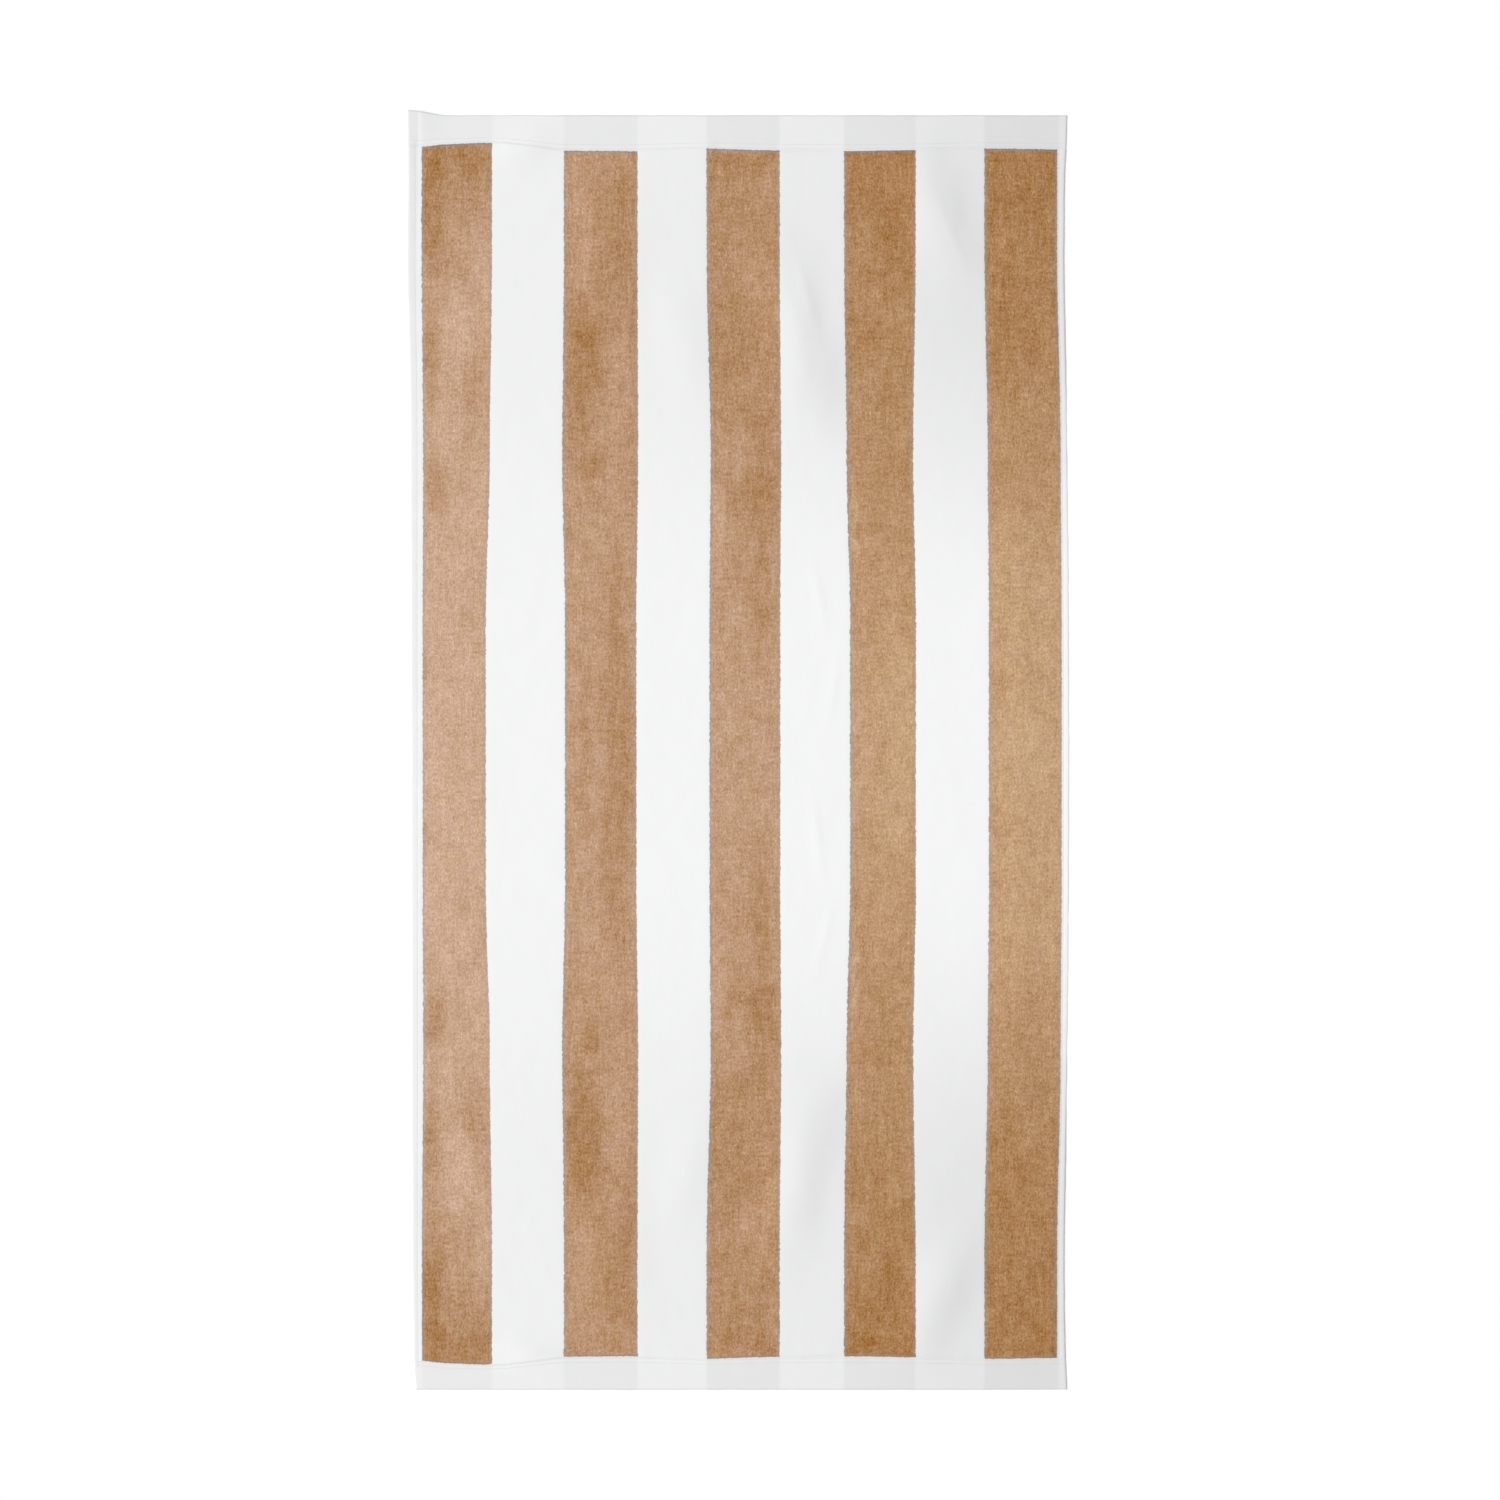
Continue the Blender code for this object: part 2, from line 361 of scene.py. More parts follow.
def cloth_thickness(across, along):
    in_band = np.abs(along) > HALF_LENGTH - BAND_DEPTH
    flat = np.where(in_band, BAND_THICKNESS, np.where(across > 0, EAST_HEM_THICKNESS, WEST_HEM_THICKNESS))
    unpressed = flat + (PILE_THICKNESS - flat) * pile_share(across, along)
    return unpressed * (1 - ironed(across, along))


def fine_creases(x, y):
    height = np.zeros_like(x)
    for crease in CREASES:
        turn = math.radians(crease.turn)
        over = (x - crease.x) * math.cos(turn) - (y - crease.y) * math.sin(turn)
        down = (x - crease.x) * math.sin(turn) + (y - crease.y) * math.cos(turn)
        ends = 1 - smooth(np.abs(2 * down / crease.length))
        height += crease.height * ends * close_to(over, crease.width)
    return height


def seam_dip(across, along):
    """How far the stitches pull the face down beside them."""
    side_gap = HALF_WIDTH - np.abs(across)
    end_gap = HALF_LENGTH - np.abs(along)
    dip = SIDE_DIP * close_to(side_gap - SIDE_SEAM, 0.0012) * (end_gap > BAND_DEPTH)
    for seam in END_SEAMS:
        dip += END_DIP * close_to(end_gap - seam, 0.0010)
    return dip


def face_relief(across, along, x, y):
    """What stands up on the face beyond its thickness: pile, puckers beside the hems, and creases."""
    pile = pile_share(across, along)
    relief = pile * PILE_WAVES * rough(across, along, size=0.045, seed=1)
    relief += pile * PILE_LUMPS * rough(across, along, size=0.014, seed=2)
    side_gap = HALF_WIDTH - np.abs(across)
    puckers = rough(across * 0.25, along, size=0.011, seed=3)
    relief += SIDE_PUCKERS * puckers * close_to(side_gap - HEM_DEPTH, 0.016)
    end_gap = HALF_LENGTH - np.abs(along)
    puckers = rough(across, along * 0.25, size=0.014, seed=4)
    relief += END_PUCKERS * puckers * close_to(end_gap - BAND_DEPTH, 0.014)
    for edge in STRIPE_EDGES:
        relief -= STRIPE_GROOVE * pile * close_to(across - edge.place, 0.0014)
    return relief + fine_creases(x, y) - seam_dip(across, along)


def rounding(across, along):
    """From 0 at the turned edge to 1 where the cloth has its full thickness."""
    side_gap = (HALF_WIDTH - np.abs(across)) / np.where(across > 0, EAST_FOLD, WEST_FOLD)
    end_gap = (HALF_LENGTH - np.abs(along)) / END_FOLD
    gap = np.clip(np.minimum(side_gap, end_gap), 0.0, 1.0)
    return np.sqrt(1 - (1 - gap) ** 2)


def placed(across, along, face_side=True):
    """The cloth's places in space, on its face or on its back."""
    x, y = laid(across, along)
    side, end = np.sign(across), np.sign(along)
    near_side = np.exp(-((HALF_WIDTH - np.abs(across)) / 0.006))
    near_end = np.exp(-((HALF_LENGTH - np.abs(along)) / 0.006))
    x = x + EDGE_WANDER * near_side * side * rough(side * 5, along, size=0.016, seed=5)
    y = y + EDGE_WANDER * near_end * end * rough(across, end * 5, size=0.018, seed=6)
    half = cloth_thickness(across, along) / 2
    bulge = half * rounding(across, along)
    if face_side:
        z = half + bulge + face_relief(across, along, x, y)
    else:
        z = half - bulge + BACK_DIP * seam_dip(across, along)
    return np.stack([x, y, solid.height_at(x, y) + z], axis=1)


def painted_sheen_of(across, along):
    """The nap's painted sheen at places on the face, from its stripe's profile, patches and random grain.
    """
    out = np.abs(along)
    shares = []
    for nap_sheen in STRIPE_SHEENS:
        shares.append(eased(SHEEN_PLACES[::-1], nap_sheen[::-1], out))
    centres = [(west.place + east.place) / 2 for west, east in zip(STRIPE_EDGES[::2], STRIPE_EDGES[1::2])]
    nearest = np.argmin([np.abs(across - centre) for centre in centres], axis=0)
    sheen_and_grain = np.choose(nearest, shares)
    bent_across = across + 0.007 * rough(across, out, size=0.022, seed=7)
    bent_across = bent_across + 0.003 * rough(across, out, size=0.009, seed=8)
    bent_along = out + 0.022 * rough(across, out, size=0.040, seed=9)
    bent_along = bent_along + 0.006 * rough(across, out, size=0.012, seed=10)
    # Painted sheen and painted shade in patches
    for patch in SHEEN_PATCHES:
        over = (bent_across - patch.across) / (patch.width / 2)
        down = (bent_along - patch.along) / (patch.length / 2)
        sheen_and_grain = sheen_and_grain + patch.paler * (1 - smooth((np.hypot(over, down) - 0.45) / 0.95))
    # Random grain on top of the painted sheen
    sheen_and_grain = sheen_and_grain + 0.11 * rough(across, out * 0.6, size=0.024, seed=11)
    sheen_and_grain = sheen_and_grain + 0.09 * rough(across, along * 0.5, size=0.011, seed=12)
    return sheen_and_grain


def painted_shading_of(across, along):
    """The painted light and shade on the white cotton at places on the face, from 1 in the middle of the
    towel.
    """
    out = np.abs(along)
    towards_end = smooth((out - 0.14) / 0.44)
    eastward = smooth((across + HALF_WIDTH) / 0.75)
    far_east = smooth((across - 0.14) / 0.16)
    # Painted shade: the white is darker towards the ends, most in the east
    painted_end_shade = towards_end * (0.040 + 0.070 * eastward + 0.042 * far_east)
    lit_edge = 0.018 * towards_end * smooth((-0.386 - across) / 0.006)
    # Painted shade along the west hem in the north half, most near the north end
    in_west_hem = across < HEM_DEPTH - HALF_WIDTH + 0.001
    west_hem_shade = in_west_hem * (0.020 * smooth(along / 0.10) + 0.056 * smooth((along - 0.44) / 0.28))
    # Painted shade at the raised north-west corner
    raised_corner_shade = 0.025 * smooth((-0.392 - across) / 0.006) * smooth((along - 0.70) / 0.06)
    # Painted shadow beside a soft fold, between the third and fourth tan stripes, in both halves
    painted_fold_shadow = 0.044 * close_to(across - 0.094, 0.040) * close_to(out - 0.45, 0.065)
    return 1 - painted_end_shade + lit_edge - west_hem_shade - raised_corner_shade - painted_fold_shadow


FACE, BACK = range(2)
CLOTH_LAYERS = ("across", "along", "nap_sheen", "painted_shading")


def add_side(mesh, columns, rows, face_side):
    """Adds one side of the cloth to the mesh as a grid bent to its place. Returns its edge."""
    made = bmesh.ops.create_grid(
        mesh, x_segments=len(columns) - 1, y_segments=len(rows) - 1, size=0.5
    )["verts"]
    grid = np.array([vertex.co[:2] for vertex in made]) + 0.5
    across = columns[np.rint(grid[:, 0] * (len(columns) - 1)).astype(int)]
    along = rows[np.rint(grid[:, 1] * (len(rows) - 1)).astype(int)]
    values = (across, along, painted_sheen_of(across, along), painted_shading_of(across, along))
    layers = [mesh.verts.layers.float[name] for name in CLOTH_LAYERS]
    for vertex, place, *carried in zip(made, placed(across, along, face_side), *values):
        vertex.co = place
        for layer, value in zip(layers, carried):
            vertex[layer] = value
    for face in {face for vertex in made for face in vertex.link_faces}:
        face.material_index = FACE if face_side else BACK
    return edge_in_order(made, across, along)


def edge_in_order(vertices, across, along):
    """The vertices at the cloth's edge with how far round the towel each is, from one corner."""
    side = 2 * across / np.ptp(across)
    end = 2 * along / np.ptp(along)
    at_edge = np.flatnonzero(np.maximum(np.abs(side), np.abs(end)) > 1 - 1e-9)
    found = []
    for i in at_edge:
        if end[i] < -1 + 1e-9:
            turn = 1 + side[i]
        elif side[i] > 1 - 1e-9:
            turn = 3 + end[i]
        elif end[i] > 1 - 1e-9:
            turn = 5 - side[i]
        else:
            turn = 7 - end[i]
        found.append((turn, vertices[i]))
    return sorted(found, key=lambda pair: pair[0])


def join_edges(mesh, upper, lower):
    """Closes the cloth's edge with a strip of triangles between the face's edge and the back's."""
    upper, lower = upper + [(8.0, upper[0][1])], lower + [(8.0, lower[0][1])]
    i = j = 0
    while i < len(upper) - 1 or j < len(lower) - 1:
        up_next = j == len(lower) - 1 or (i < len(upper) - 1 and upper[i + 1][0] <= lower[j + 1][0])
        corners = [upper[i][1], lower[j][1], (upper[i + 1] if up_next else lower[j + 1])[1]]
        mesh.faces.new(corners).material_index = FACE
        i, j = i + up_next, j + (not up_next)


def both_sides(half, gaps):
    """Places with these gaps from each edge of the cloth, where half is half its size."""
    return [sign * (half - gap) for sign in (-1, 1) for gap in gaps]


def cloth_mesh():
    """The face and the back as one closed mesh, with lines where the cloth folds, rises and dips."""
    rise = (0, PILE_RISE / 2, PILE_RISE)
    across = both_sides(HALF_WIDTH, [0, 0.0004, 0.0014, 0.0030, *[HEM_DEPTH + gap for gap in rise]])
    along = both_sides(HALF_LENGTH, [0, 0.0004, 0.0012, *[BAND_DEPTH + gap for gap in rise]])
    across += both_sides(HALF_WIDTH, [SIDE_SEAM - 0.001, SIDE_SEAM])
    for seam in END_SEAMS:
        along += both_sides(HALF_LENGTH, [seam - 0.001, seam, seam + 0.001])
    for edge in STRIPE_EDGES:
        across += [edge.place - 0.0016, edge.place, edge.place + 0.0016]
    mesh = bmesh.new()
    for name in CLOTH_LAYERS:
        mesh.verts.layers.float.new(name)
    face_edge = add_side(
        mesh, lines_between(across, FACE_COLUMN), lines_between(along, FACE_ROW), face_side=True
    )
    across = both_sides(HALF_WIDTH, [0.0003, 0.0012, SIDE_SEAM - 0.0015, SIDE_SEAM, HEM_DEPTH])
    along = both_sides(HALF_LENGTH, [0.0003, 0.0012, BAND_DEPTH])
    for seam in END_SEAMS:
        along += both_sides(HALF_LENGTH, [seam - 0.0015, seam, seam + 0.0015])
    back_edge = add_side(
        mesh, lines_between(across, BACK_COLUMN), lines_between(along, BACK_ROW), face_side=False
    )
    join_edges(mesh, face_edge, back_edge)
    bmesh.ops.recalc_face_normals(mesh, faces=mesh.faces)
    made = bpy.data.meshes.new("towel_cloth")
    mesh.to_mesh(made)
    mesh.free()
    made.shade_smooth()
    return made


class Wire:
    """An output in a material's nodes. Arithmetic with it adds the Math nodes that work it out."""

    def __init__(self, tree, output=None):
        self.tree = tree
        self.output = output

    def node(self, kind, settings=(), sockets=(), output=0):
        """Adds a node with these settings, and with these values or wires in its sockets."""
        made = self.tree.nodes.new("ShaderNode" + kind)
        for name, value in dict(settings).items():
            setattr(made, name, value)
        for name, value in dict(sockets).items():
            if isinstance(value, Wire):
                self.tree.links.new(value.output, made.inputs[name])
            else:
                made.inputs[name].default_value = value
        return Wire(self.tree, made.outputs[output] if made.outputs else None)

    def other(self, output):
        """Another output of the same node."""
        return Wire(self.tree, self.output.node.outputs[output])

    def math(self, operation, *values):
        return self.node("Math", {"operation": operation}, dict(enumerate(values)))

    def __add__(self, other):
        return self.math("ADD", self, other)

    def __sub__(self, other):
        return self.math("SUBTRACT", self, other)

    def __rsub__(self, other):
        return self.math("SUBTRACT", other, self)

    def __mul__(self, other):
        return self.math("MULTIPLY", self, other)

    def __truediv__(self, other):
        return self.math("DIVIDE", self, other)

    def __abs__(self):
        return self.math("ABSOLUTE", self)

    __radd__ = __add__
    __rmul__ = __mul__


def read(start, name):
    """A value that the cloth's mesh carries."""
    return start.node("Attribute", {"attribute_name": name}, output="Fac")


def rising(value, start, end):
    """From 0 to 1 as the value goes from start to end, easing in and out."""
    sockets = {"Value": value, "From Min": start, "From Max": end}
    return value.node("MapRange", {"interpolation_type": "SMOOTHSTEP"}, sockets)


def speckle(across, along, width, length, detail=2.0, shift=0.0):
    """Noise from 0 to 1 in the cloth, with spots of the width across it and the length along it."""
    place = across.node("CombineXYZ", sockets={0: across / width, 1: along / length, 2: shift})
    sockets = {"Vector": place, "Scale": 1.0, "Detail": detail, "Roughness": 0.6}
    return place.node("TexNoise", sockets=sockets)


def blended(share, low, high):
    """One colour passing into another as the share goes from 0 to 1, and on past it."""
    settings = {"data_type": "RGBA", "clamp_factor": False}
    return share.node("Mix", settings, {0: share, 6: low, 7: high}, output=2)


def scaled(factor, colour):
    """A colour made brighter or darker by a value."""
    return factor.node("VectorMath", {"operation": "SCALE"}, {0: colour, "Scale": factor})


def tinted(colour, tint):
    """A colour dyed with another, channel by channel."""
    return colour.node("VectorMath", {"operation": "MULTIPLY"}, {0: colour, 1: tint})


def bumped(height, distance):
    return height.node("Bump", sockets={"Height": height, "Distance": distance})


def cotton(material, colour, normal, roughness, sheen):
    """Finishes a material as cotton of the colour, with a soft fuzz of loose fibres over it."""
    sockets = {
        "Base Color": colour,
        "Normal": normal,
        "Roughness": roughness,
        "Specular IOR Level": 0.15,
        "Sheen Weight": sheen,
        "Sheen Roughness": 0.5,
    }
    surface = colour.node("BsdfPrincipled", sockets=sockets)
    surface.node("OutputMaterial", sockets={"Surface": surface})
    return material


def new_finish(name):
    material = bpy.data.materials.new(name)
    material.use_nodes = True
    material.node_tree.nodes.clear()
    return material, Wire(material.node_tree)


FLAT_YARN = 0.0009
VELOUR_RELIEF = 0.00017
LOOP_RELIEF = 0.0010
WHITE = (0.855, 0.856, 0.858, 1.0)
TAN_DEEP = (0.380, 0.191, 0.072, 1.0)
# The tan with its full painted sheen, and the same a little yellower east of the middle; the deep tan has
# none
TAN_WITH_SHEEN = (0.590, 0.386, 0.262, 1.0)
TAN_WITH_SHEEN_EAST = (0.584, 0.380, 0.221, 1.0)
BORDER_SHADOW = (0.300, 0.335, 0.375, 1.0)
REDDISH = (1.020, 0.985, 1.100, 1.0)
OLIVE = (0.985, 1.010, 0.900, 1.0)


def depth_in_stripes(across):
    """How far a place is inside the nearest tan stripe, in metres, and below 0 in the white."""
    depth = None
    for west, east in zip(STRIPE_EDGES[::2], STRIPE_EDGES[1::2]):
        half = (east.place - west.place) / 2
        inside = half + STRIPE_SPREAD - abs(across - (east.place + west.place) / 2)
        depth = inside if depth is None else depth.math("MAXIMUM", depth, inside)
    return depth


def tufts(across, along, width, length):
    """The pile as woven: how far each place is from its tuft's middle, and a chance number per tuft."""
    place = across.node("CombineXYZ", sockets={0: across / width, 1: along / length})
    distance = place.node("TexVoronoi", sockets={"Vector": place, "Scale": 1.0}, output="Distance")
    chance = distance.node("SeparateColor", sockets={0: distance.other("Color")})
    return distance, chance - 0.5


def woven(across, along, yarn):
    """The over and under of a plain weave, from -1 to 1."""
    warp = across * (math.tau / yarn)
    weft = along * (math.tau / yarn)
    return warp.math("SINE", warp) * weft.math("SINE", weft)


def inside_hems(across, along):
    """How far a place is from the band, and from the nearer of the band and the side hem."""
    from_band = HALF_LENGTH - BAND_DEPTH - abs(along)
    from_hem = HALF_WIDTH - HEM_DEPTH - abs(across)
    return from_band, from_band.math("MINIMUM", from_band, from_hem)


PileGrain = namedtuple("PileGrain", "gap chance fibre fine grain ribs teeth")


def pile_grain(across, along):
    """The unevenness of the sheared pile: tufts, fibres, lint, yarns, ribs and a ragged border."""
    gap, chance = tufts(across, along, width=0.0011, length=0.0016)
    fibre = speckle(across, along, width=0.0005, length=0.0013, shift=9.5) - 0.5
    fine = speckle(across, along, width=0.0021, length=0.0036, shift=4.0) - 0.5
    warp = speckle(across, along, width=0.0030, length=0.0140, shift=2.5) - 0.5
    weft = speckle(across, along, width=0.0110, length=0.0034, shift=12.5) - 0.5
    ribs = speckle(across, along, width=0.0034, length=0.0500, shift=7.5) - 0.5
    teeth = speckle(across, along, width=0.0080, length=0.0044, detail=3.0, shift=1.5) - 0.5
    return PileGrain(gap, chance, fibre, fine, 0.75 * warp + 0.65 * weft, ribs, teeth)


def tan_pile(nap_sheen, across, along, pile):
    """The tan pile with a painted sheen: dark where the nap is stroked away from the light, pale where it
    leans towards it.
    """
    blotch = speckle(across, along, width=0.0110, length=0.0170, detail=3.0, shift=8.5) - 0.5
    sheen_and_grain = nap_sheen + 0.95 * pile.fine + 0.95 * pile.grain + 0.60 * blotch + 0.32 * pile.ribs
    sheen_and_grain = sheen_and_grain + 0.18 * pile.chance + 0.20 * pile.fibre
    east = rising(across, 0.02, 0.22)
    tan = blended(sheen_and_grain, TAN_DEEP, blended(east, TAN_WITH_SHEEN, TAN_WITH_SHEEN_EAST))
    hue = speckle(across, along, width=0.0120, length=0.0160, detail=1.0, shift=11.5)
    tan = tinted(tan, blended(hue, REDDISH, OLIVE))
    # Painted shade between the tufts, darker away from each tuft's middle, with random grain
    return scaled((1 + 0.60 * pile.fine + 0.22 * pile.grain) * (1.06 - 0.18 * pile.gap), tan)


def shaded_border(tan, depth, from_band, inside, pile):
    """The tan pile darker where it slopes down: beside the white, the hem and most beside the band."""
    inward = depth.math("MINIMUM", depth, inside - 0.0002)
    in_shadow = 0.42 * (1 - rising(inward, 0.0002, 0.0050)) * (1 + 0.8 * pile.chance)
    tan = blended(in_shadow, tan, BORDER_SHADOW)
    return scaled(1 - 0.16 * (1 - rising(from_band, 0.0004, 0.0034)), tan)


def white_pile(painted_shading, depth, pile):
    """The white pile, with painted shade beside the tan stripes where the tan pile leans over it, and
    between its tufts.
    """
    tuft_shade_and_grain = 1.004 - 0.012 * pile.gap + 0.004 * pile.fine + 0.006 * pile.grain + 0.004 * pile.fibre
    return scaled(painted_shading * tuft_shade_and_grain * (1 - 0.02 * rising(depth, -0.0040, -0.0010)), WHITE[:3])


def painted_edge_shade(across, along):
    """Painted shade in the last fibres before the cloth's folded edge, more at the ends of the towel."""
    dashes = speckle(across, along, width=0.0180, length=0.0180, shift=14.5)
    end_gap = HALF_LENGTH - abs(along)
    west_gap = HALF_WIDTH + across
    end_shade = (0.05 + 0.16 * dashes) * (1 - rising(end_gap, 0.0006, 0.0018))
    far_out = rising(abs(along), 0.40, 0.66)
    west_shade = 0.09 * far_out * (1 - rising(west_gap, 0.0008, 0.0022))
    return 1 - end_shade.math("MAXIMUM", end_shade, west_shade)


def flat_weave(painted_shading, across, along, slub):
    """The weave of bands and hems, with a ghost of each tan stripe where its yarns run underneath."""
    eastern = rising(across, -0.25, -0.05)
    ghost = rising(depth_in_stripes(across), -0.0030, 0.0030) * (0.048 + 0.020 * eastern)
    cloud = speckle(across, along, width=0.0200, length=0.0100, shift=6.5) - 0.5
    weave = (1 - ghost) * (1 + 0.018 * eastern) * (1 + 0.02 * slub + 0.015 * cloud)
    return scaled(painted_shading * weave * painted_edge_shade(across, along), WHITE[:3])


def velour_face():
    material, start = new_finish("velour_face")
    across, along = read(start, "across"), read(start, "along")
    painted_shading = read(start, "painted_shading")
    pile = pile_grain(across, along)
    depth = depth_in_stripes(across) + 0.0036 * pile.teeth + 0.0006 * pile.chance
    from_band, inside = inside_hems(across, along)
    inside = inside + 0.0009 * pile.chance + 0.0012 * pile.teeth
    tan_share = rising(depth, -0.0004, 0.0004)
    tan = tan_pile(read(start, "nap_sheen"), across, along, pile)
    tan = shaded_border(tan, depth, from_band, inside, pile)
    pile_colour = blended(tan_share, white_pile(painted_shading, depth, pile), tan)

    slub = speckle(across, along, width=0.0120, length=0.0016, shift=3.5) - 0.5
    in_pile = rising(inside, 0.0, 0.0005)
    colour = blended(in_pile, flat_weave(painted_shading, across, along, slub), pile_colour)

    pile_height = 0.8 * (1 - pile.gap) + 0.4 * pile.fibre + pile.fine + 0.6 * pile.grain + 0.4 * pile.ribs
    pile_height = pile_height * (0.30 + 0.70 * tan_share)
    flat_height = 0.20 * woven(across, along, FLAT_YARN) + 0.3 * slub
    height = flat_height + in_pile * (pile_height - flat_height)
    return cotton(material, colour, bumped(height, VELOUR_RELIEF), roughness=0.85, sheen=0.16)


def terry_back():
    material, start = new_finish("terry_back")
    across, along = read(start, "across"), read(start, "along")
    gap, chance = tufts(across, along, width=0.0019, length=0.0026)
    tan_share = rising(depth_in_stripes(across) + 0.0020 * chance, -0.0004, 0.0004)
    cloud = speckle(across, along, width=0.030, length=0.060, detail=3.0, shift=5.5)
    tan = blended(0.10 + 0.35 * cloud + 0.20 * chance, TAN_DEEP, TAN_WITH_SHEEN)
    # Painted shade between the loops, darker away from each loop's middle
    loops = scaled(1.05 - 0.40 * gap, blended(tan_share, WHITE, tan))
    inside = inside_hems(across, along)[1] + 0.0012 * chance
    in_loops = rising(inside, 0.0, 0.0006)
    colour = blended(in_loops, scaled(1 - 0.05 * tan_share, WHITE[:3]), loops)
    flat_height = 0.05 * woven(across, along, FLAT_YARN)
    height = flat_height + in_loops * (1 - gap - flat_height)
    return cotton(material, colour, bumped(height, LOOP_RELIEF), roughness=0.9, sheen=0.12)


towel = bpy.data.objects.new("towel_cloth", cloth_mesh())
bpy.context.scene.collection.objects.link(towel)
towel.data.materials.append(velour_face())
towel.data.materials.append(terry_back())
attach(towel, "root")
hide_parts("towel")


# ---------------------------------------------------------------------------------------------
# The hem stitches: white polyester thread, sewn by a lockstitch machine through the folded cloth.
# One row holds each side hem and two rows hold each end, just outside the pile.

STITCH_PITCH = 0.0027
STITCH_LENGTH = 0.0021
THREAD = 0.00042
THREAD_STANDS = 0.2  # of its thickness, with its middle above the face
THREAD_PALE = (0.80, 0.80, 0.81, 1.0)
# The white thread, and the same in the painted shade of its twist
THREAD_IN_SHADE = (0.66, 0.66, 0.67, 1.0)


def stitch_shape():
    """One stitch lying along X, as thick as its thread and drawn in at both ends."""
    mesh = bmesh.new()
    bmesh.ops.create_uvsphere(mesh, u_segments=5, v_segments=4, radius=0.5)
    for vertex in mesh.verts:
        vertex.co = Vector((vertex.co.z * STITCH_LENGTH, vertex.co.x * THREAD, vertex.co.y * THREAD))
    points = np.array([vertex.co for vertex in mesh.verts])
    triangles = []
    for face in mesh.faces:
        first, *others = [vertex.index for vertex in face.verts]
        triangles += [(first, *pair) for pair in zip(others, others[1:])]
    mesh.free()
    return points, np.array(sorted(triangles))  # sorted, so that every run numbers them alike


def stitch_rows():
    """The middles of all the stitches in the cloth, and whether each runs along its length."""
    side = HALF_WIDTH - SIDE_SEAM
    length = HALF_LENGTH - END_SEAMS[0]
    count = int(2 * length / STITCH_PITCH)
    for sign in (-1, 1):
        for step in range(count):
            yield sign * side, -length + (step + 0.5) * STITCH_PITCH, True
    width = HALF_WIDTH - EAST_FOLD
    count = int(2 * width / STITCH_PITCH)
    for sign in (-1, 1):
        for seam in END_SEAMS:
            for step in range(count):
                yield -width + (step + 0.5) * STITCH_PITCH, sign * (HALF_LENGTH - seam), False


def stitch_mesh():
    """The stitches on the face, and the same ones sunk into the back."""
    points, faces = stitch_shape()
    across, along, lengthwise = map(np.array, zip(*stitch_rows()))
    half = STITCH_LENGTH / 2
    places = []
    for face_side in (True, False):
        start = placed(across - half * ~lengthwise, along - half * lengthwise, face_side)
        end = placed(across + half * ~lengthwise, along + half * lengthwise, face_side)
        heading = (end - start) / np.linalg.norm(end - start, axis=1)[:, None]
        sideways = np.cross([0.0, 0.0, 1.0], heading)
        sideways /= np.linalg.norm(sideways, axis=1)[:, None]
        upward = np.cross(heading, sideways)
        middle = (start + end) / 2 + upward * THREAD * (THREAD_STANDS if face_side else 0.0)
        turned = sum(
            points[None, :, axis, None] * way[:, None]
            for axis, way in enumerate((heading, sideways, upward))
        )
        places.append(middle[:, None] + turned)
    places = np.concatenate(places)
    offsets = np.arange(len(places))[:, None, None] * len(points)
    mesh = bpy.data.meshes.new("hem_stitches")
    mesh.from_pydata(places.reshape(-1, 3).tolist(), [], (faces + offsets).reshape(-1, 3).tolist())
    mesh.shade_smooth()
    return mesh


def thread():
    material, start = new_finish("sewing_thread")
    place = start.node("TexCoord", output="Object")
    twist = place.node("TexWave", {"bands_direction": "DIAGONAL"}, {"Vector": place, "Scale": 900.0})
    # Painted shade in the grooves of the twist
    colour = blended(twist, THREAD_IN_SHADE, THREAD_PALE)
    return cotton(material, colour, bumped(twist, 0.0001), roughness=0.5, sheen=0.0)


stitches = bpy.data.objects.new("hem_stitches", stitch_mesh())
bpy.context.scene.collection.objects.link(stitches)
stitches.data.materials.append(thread())
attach(stitches, "root")


# ---------------------------------------------------------------------------------------------
# The floor, light and camera: the towel lies on a plain white floor, in even daylight with a soft
# light low at its left, and is seen from straight above.

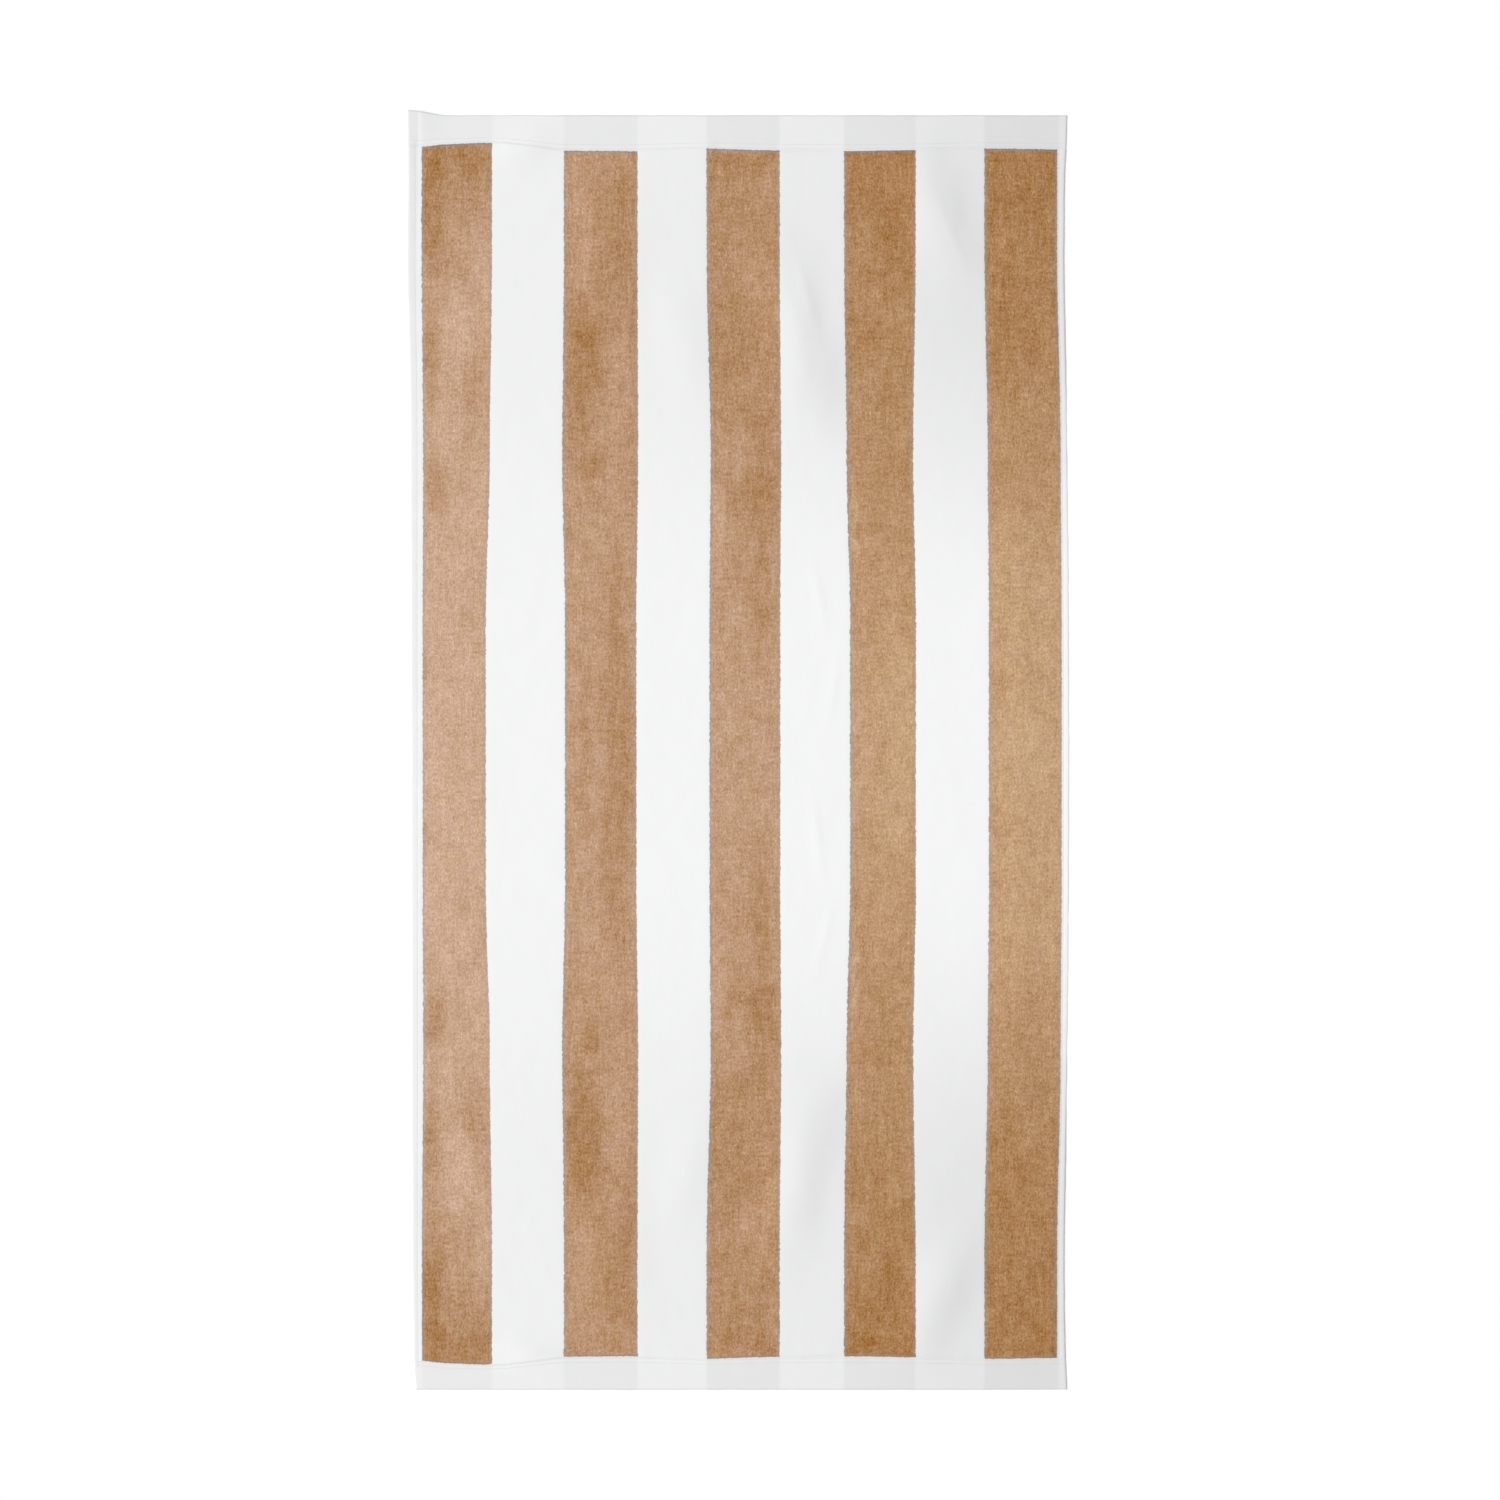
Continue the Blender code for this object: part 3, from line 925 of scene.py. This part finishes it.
FLOOR_SIDE = 30.0
FLOOR_DROP = 0.00005  # keeps the floor just clear of the cloth
PAPER = (0.935, 0.935, 0.935, 1.0)
PAPER_FLECK = (0.945, 0.945, 0.945, 1.0)
WINDOW_LIGHT = 2.75
WINDOW_SPREAD = 35  # degrees
WINDOW_DIRECTION = (-0.788, 0.0, 0.616)
ROOM_LIGHT = 0.53
CAMERA_PLACE = (0.0148, -0.0002)
VIEW_WIDTH = 1.8545
LENS = 90.0
SENSOR = 36.0

floor_mesh = bmesh.new()
bmesh.ops.create_grid(floor_mesh, x_segments=2, y_segments=2, size=FLOOR_SIDE / 2)
floor_data = bpy.data.meshes.new("floor")
floor_mesh.to_mesh(floor_data)
floor_mesh.free()
floor = bpy.data.objects.new("floor", floor_data)
floor.location.z = -FLOOR_DROP
bpy.context.scene.collection.objects.link(floor)
paper, start = new_finish("white_paper")
grain = start.node("TexNoise", sockets={"Scale": 300.0, "Detail": 2.0})
paper_colour = blended(grain, PAPER, PAPER_FLECK)
cotton(paper, paper_colour, bumped(grain, 0.00005), roughness=0.9, sheen=0.0)
floor.data.materials.append(paper)

window_data = bpy.data.lights.new("window", "SUN")
window_data.energy = WINDOW_LIGHT
window_data.angle = math.radians(WINDOW_SPREAD)
window = bpy.data.objects.new("window", window_data)
window.rotation_euler = Vector(WINDOW_DIRECTION).to_track_quat("Z", "Y").to_euler()
bpy.context.scene.collection.objects.link(window)

room = bpy.data.worlds.new("room")
room.use_nodes = True
room.node_tree.nodes["Background"].inputs["Color"].default_value = (1.0, 1.0, 1.0, 1.0)
room.node_tree.nodes["Background"].inputs["Strength"].default_value = ROOM_LIGHT
bpy.context.scene.world = room

camera_data = bpy.data.cameras.new("camera")
camera_data.lens = LENS
camera_data.sensor_width = SENSOR
camera_data.clip_end = 100.0
camera = bpy.data.objects.new("camera", camera_data)
camera.location = (*CAMERA_PLACE, VIEW_WIDTH * LENS / SENSOR)
bpy.context.scene.collection.objects.link(camera)
bpy.context.scene.camera = camera
bpy.context.scene.view_settings.view_transform = "Standard"
